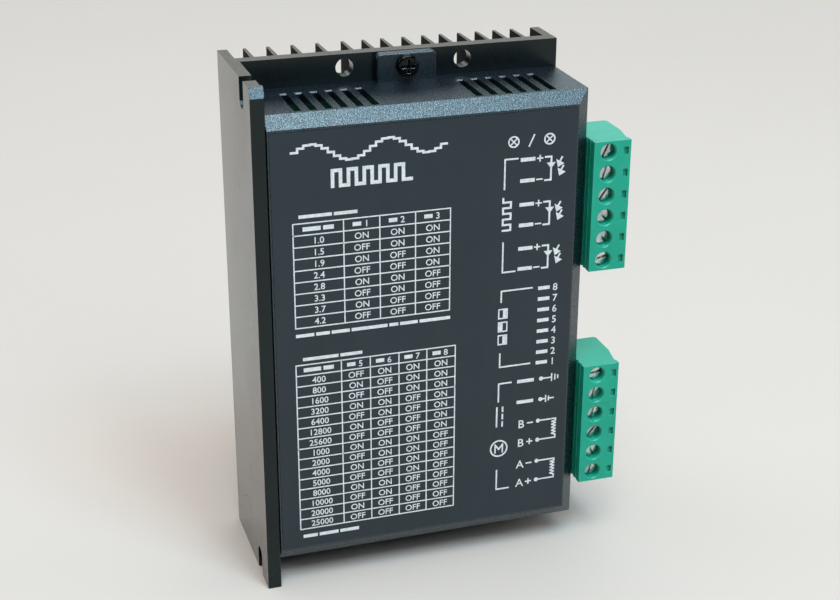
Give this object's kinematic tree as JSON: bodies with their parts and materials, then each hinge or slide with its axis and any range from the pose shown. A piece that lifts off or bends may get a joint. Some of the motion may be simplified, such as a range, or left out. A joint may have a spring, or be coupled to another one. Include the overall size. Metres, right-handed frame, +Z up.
{
  "type": "stepper driver module",
  "caption": "Finned L-shaped black heatsink with bevelled vented cover, printed front, green pluggable screw terminals, side switch bank and status lamps for driving a stepper motor.",
  "frame": {"origin": "bottom centre of the whole driver's bounding box, plugs included, standing on its lower end", "axes": "+Z up along the extrusion, -Y out of the printed front, +Y towards the fins, +X towards the terminal plugs, -X out of the mounting leg's outer face"},
  "size_m": [0.0852, 0.0338, 0.118],
  "materials": {
    "anodised_black": "black anodised extrusion, satin with fine die lines",
    "cover_black": "fine spark-textured black moulding",
    "screw_black": "black zinc-plated steel",
    "label_film": "matt dark polyester film with white print",
    "board_green": "green solder resist on glass-epoxy board",
    "standoff_nickel": "nickel-plated steel",
    "steel_zinc": "bright zinc-plated steel",
    "pad_grey": "soft grey thermal pad",
    "chip_black": "moulded epoxy",
    "capacitor_sleeve": "dark sleeve on aluminium can",
    "opto_white": "white epoxy package",
    "holder_black": "matt black nylon",
    "lamp_green": "tinted translucent resin",
    "lamp_red": "tinted translucent resin",
    "switch_body": "dark moulded thermoplastic",
    "slider_white": "white nylon",
    "plug_green": "semi-gloss green polyamide",
    "contact_tin": "tin-plated copper alloy",
    "clamp_plated": "nickel-plated steel cage"
  },
  "bodies": {
    "driver": {"heatsink": "anodised_black", "cover": "cover_black", "cover_screws": "screw_black", "front_label": "label_film", "circuit_board": "board_green", "board_standoffs": "standoff_nickel", "board_screws": "steel_zinc", "thermal_pad": "pad_grey", "power_mosfets": "chip_black", "bulk_capacitors": "capacitor_sleeve", "processor_chip": "chip_black", "driver_chips": "chip_black", "optocouplers": "opto_white", "sense_resistors": "chip_black", "lamp_holder": "holder_black", "power_lamp": "lamp_green", "alarm_lamp": "lamp_red", "dip_switch_body": "switch_body", "signal_header": "plug_green", "power_motor_header": "plug_green", "header_pins": "contact_tin"},
    "dip_slider_1": {"dip_slider_1": "slider_white"},
    "dip_slider_2": {"dip_slider_2": "slider_white"},
    "dip_slider_3": {"dip_slider_3": "slider_white"},
    "dip_slider_4": {"dip_slider_4": "slider_white"},
    "dip_slider_5": {"dip_slider_5": "slider_white"},
    "dip_slider_6": {"dip_slider_6": "slider_white"},
    "dip_slider_7": {"dip_slider_7": "slider_white"},
    "dip_slider_8": {"dip_slider_8": "slider_white"},
    "signal_plug": {"signal_plug": "plug_green", "signal_contacts": "contact_tin"},
    "signal_screw_1": {"signal_screw_1": "steel_zinc"},
    "signal_clamp_1": {"signal_clamp_1": "clamp_plated"},
    "signal_screw_2": {"signal_screw_2": "steel_zinc"},
    "signal_clamp_2": {"signal_clamp_2": "clamp_plated"},
    "signal_screw_3": {"signal_screw_3": "steel_zinc"},
    "signal_clamp_3": {"signal_clamp_3": "clamp_plated"},
    "signal_screw_4": {"signal_screw_4": "steel_zinc"},
    "signal_clamp_4": {"signal_clamp_4": "clamp_plated"},
    "signal_screw_5": {"signal_screw_5": "steel_zinc"},
    "signal_clamp_5": {"signal_clamp_5": "clamp_plated"},
    "signal_screw_6": {"signal_screw_6": "steel_zinc"},
    "signal_clamp_6": {"signal_clamp_6": "clamp_plated"},
    "power_plug": {"power_plug": "plug_green", "power_contacts": "contact_tin"},
    "power_screw_1": {"power_screw_1": "steel_zinc"},
    "power_clamp_1": {"power_clamp_1": "clamp_plated"},
    "power_screw_2": {"power_screw_2": "steel_zinc"},
    "power_clamp_2": {"power_clamp_2": "clamp_plated"},
    "motor_plug": {"motor_plug": "plug_green", "motor_contacts": "contact_tin"},
    "motor_screw_1": {"motor_screw_1": "steel_zinc"},
    "motor_clamp_1": {"motor_clamp_1": "clamp_plated"},
    "motor_screw_2": {"motor_screw_2": "steel_zinc"},
    "motor_clamp_2": {"motor_clamp_2": "clamp_plated"},
    "motor_screw_3": {"motor_screw_3": "steel_zinc"},
    "motor_clamp_3": {"motor_clamp_3": "clamp_plated"},
    "motor_screw_4": {"motor_screw_4": "steel_zinc"},
    "motor_clamp_4": {"motor_clamp_4": "clamp_plated"}
  },
  "joints": [
    {"name": "dip_slider_1_slide", "type": "slide", "parent": "driver", "child": "dip_slider_1", "axis": [0, -1, 0], "range_m": [0, 0.002]},
    {"name": "dip_slider_2_slide", "type": "slide", "parent": "driver", "child": "dip_slider_2", "axis": [0, -1, 0], "range_m": [0, 0.002]},
    {"name": "dip_slider_3_slide", "type": "slide", "parent": "driver", "child": "dip_slider_3", "axis": [0, -1, 0], "range_m": [0, 0.002]},
    {"name": "dip_slider_4_slide", "type": "slide", "parent": "driver", "child": "dip_slider_4", "axis": [0, -1, 0], "range_m": [0, 0.002]},
    {"name": "dip_slider_5_slide", "type": "slide", "parent": "driver", "child": "dip_slider_5", "axis": [0, -1, 0], "range_m": [0, 0.002]},
    {"name": "dip_slider_6_slide", "type": "slide", "parent": "driver", "child": "dip_slider_6", "axis": [0, -1, 0], "range_m": [0, 0.002]},
    {"name": "dip_slider_7_slide", "type": "slide", "parent": "driver", "child": "dip_slider_7", "axis": [0, -1, 0], "range_m": [0, 0.002]},
    {"name": "dip_slider_8_slide", "type": "slide", "parent": "driver", "child": "dip_slider_8", "axis": [0, -1, 0], "range_m": [0, 0.002]},
    {"name": "signal_plug_slide", "type": "slide", "parent": "driver", "child": "signal_plug", "axis": [1, 0, 0], "range_m": [0, 0.014]},
    {"name": "signal_screw_1_turn", "type": "hinge", "parent": "signal_plug", "child": "signal_screw_1", "pos_m": [0.0367, -0.01475, 0.0975], "axis": [0, 1, 0], "range_deg": [0, 1728]},
    {"name": "signal_clamp_1_lift", "type": "slide", "parent": "signal_plug", "child": "signal_clamp_1", "axis": [0, -1, 0], "range_m": [0, 0.0024]},
    {"name": "signal_screw_2_turn", "type": "hinge", "parent": "signal_plug", "child": "signal_screw_2", "pos_m": [0.0367, -0.01475, 0.09242], "axis": [0, 1, 0], "range_deg": [0, 1728]},
    {"name": "signal_clamp_2_lift", "type": "slide", "parent": "signal_plug", "child": "signal_clamp_2", "axis": [0, -1, 0], "range_m": [0, 0.0024]},
    {"name": "signal_screw_3_turn", "type": "hinge", "parent": "signal_plug", "child": "signal_screw_3", "pos_m": [0.0367, -0.01475, 0.08734], "axis": [0, 1, 0], "range_deg": [0, 1728]},
    {"name": "signal_clamp_3_lift", "type": "slide", "parent": "signal_plug", "child": "signal_clamp_3", "axis": [0, -1, 0], "range_m": [0, 0.0024]},
    {"name": "signal_screw_4_turn", "type": "hinge", "parent": "signal_plug", "child": "signal_screw_4", "pos_m": [0.0367, -0.01475, 0.08226], "axis": [0, 1, 0], "range_deg": [0, 1728]},
    {"name": "signal_clamp_4_lift", "type": "slide", "parent": "signal_plug", "child": "signal_clamp_4", "axis": [0, -1, 0], "range_m": [0, 0.0024]},
    {"name": "signal_screw_5_turn", "type": "hinge", "parent": "signal_plug", "child": "signal_screw_5", "pos_m": [0.0367, -0.01475, 0.07718], "axis": [0, 1, 0], "range_deg": [0, 1728]},
    {"name": "signal_clamp_5_lift", "type": "slide", "parent": "signal_plug", "child": "signal_clamp_5", "axis": [0, -1, 0], "range_m": [0, 0.0024]},
    {"name": "signal_screw_6_turn", "type": "hinge", "parent": "signal_plug", "child": "signal_screw_6", "pos_m": [0.0367, -0.01475, 0.0721], "axis": [0, 1, 0], "range_deg": [0, 1728]},
    {"name": "signal_clamp_6_lift", "type": "slide", "parent": "signal_plug", "child": "signal_clamp_6", "axis": [0, -1, 0], "range_m": [0, 0.0024]},
    {"name": "power_plug_slide", "type": "slide", "parent": "driver", "child": "power_plug", "axis": [1, 0, 0], "range_m": [0, 0.014]},
    {"name": "power_screw_1_turn", "type": "hinge", "parent": "power_plug", "child": "power_screw_1", "pos_m": [0.0367, -0.01475, 0.04335], "axis": [0, 1, 0], "range_deg": [0, 1728]},
    {"name": "power_clamp_1_lift", "type": "slide", "parent": "power_plug", "child": "power_clamp_1", "axis": [0, -1, 0], "range_m": [0, 0.0024]},
    {"name": "power_screw_2_turn", "type": "hinge", "parent": "power_plug", "child": "power_screw_2", "pos_m": [0.0367, -0.01475, 0.03827], "axis": [0, 1, 0], "range_deg": [0, 1728]},
    {"name": "power_clamp_2_lift", "type": "slide", "parent": "power_plug", "child": "power_clamp_2", "axis": [0, -1, 0], "range_m": [0, 0.0024]},
    {"name": "motor_plug_slide", "type": "slide", "parent": "driver", "child": "motor_plug", "axis": [1, 0, 0], "range_m": [0, 0.014]},
    {"name": "motor_screw_1_turn", "type": "hinge", "parent": "motor_plug", "child": "motor_screw_1", "pos_m": [0.0367, -0.01475, 0.03319], "axis": [0, 1, 0], "range_deg": [0, 1728]},
    {"name": "motor_clamp_1_lift", "type": "slide", "parent": "motor_plug", "child": "motor_clamp_1", "axis": [0, -1, 0], "range_m": [0, 0.0024]},
    {"name": "motor_screw_2_turn", "type": "hinge", "parent": "motor_plug", "child": "motor_screw_2", "pos_m": [0.0367, -0.01475, 0.02811], "axis": [0, 1, 0], "range_deg": [0, 1728]},
    {"name": "motor_clamp_2_lift", "type": "slide", "parent": "motor_plug", "child": "motor_clamp_2", "axis": [0, -1, 0], "range_m": [0, 0.0024]},
    {"name": "motor_screw_3_turn", "type": "hinge", "parent": "motor_plug", "child": "motor_screw_3", "pos_m": [0.0367, -0.01475, 0.02303], "axis": [0, 1, 0], "range_deg": [0, 1728]},
    {"name": "motor_clamp_3_lift", "type": "slide", "parent": "motor_plug", "child": "motor_clamp_3", "axis": [0, -1, 0], "range_m": [0, 0.0024]},
    {"name": "motor_screw_4_turn", "type": "hinge", "parent": "motor_plug", "child": "motor_screw_4", "pos_m": [0.0367, -0.01475, 0.01795], "axis": [0, 1, 0], "range_deg": [0, 1728]},
    {"name": "motor_clamp_4_lift", "type": "slide", "parent": "motor_plug", "child": "motor_clamp_4", "axis": [0, -1, 0], "range_m": [0, 0.0024]}
  ],
  "couplings": [
    {"joint": "signal_screw_1_turn", "follows": "signal_clamp_1_lift", "rad_per_m": 12566},
    {"joint": "signal_screw_2_turn", "follows": "signal_clamp_2_lift", "rad_per_m": 12566},
    {"joint": "signal_screw_3_turn", "follows": "signal_clamp_3_lift", "rad_per_m": 12566},
    {"joint": "signal_screw_4_turn", "follows": "signal_clamp_4_lift", "rad_per_m": 12566},
    {"joint": "signal_screw_5_turn", "follows": "signal_clamp_5_lift", "rad_per_m": 12566},
    {"joint": "signal_screw_6_turn", "follows": "signal_clamp_6_lift", "rad_per_m": 12566},
    {"joint": "power_screw_1_turn", "follows": "power_clamp_1_lift", "rad_per_m": 12566},
    {"joint": "power_screw_2_turn", "follows": "power_clamp_2_lift", "rad_per_m": 12566},
    {"joint": "motor_screw_1_turn", "follows": "motor_clamp_1_lift", "rad_per_m": 12566},
    {"joint": "motor_screw_2_turn", "follows": "motor_clamp_2_lift", "rad_per_m": 12566},
    {"joint": "motor_screw_3_turn", "follows": "motor_clamp_3_lift", "rad_per_m": 12566},
    {"joint": "motor_screw_4_turn", "follows": "motor_clamp_4_lift", "rad_per_m": 12566}
  ]
}
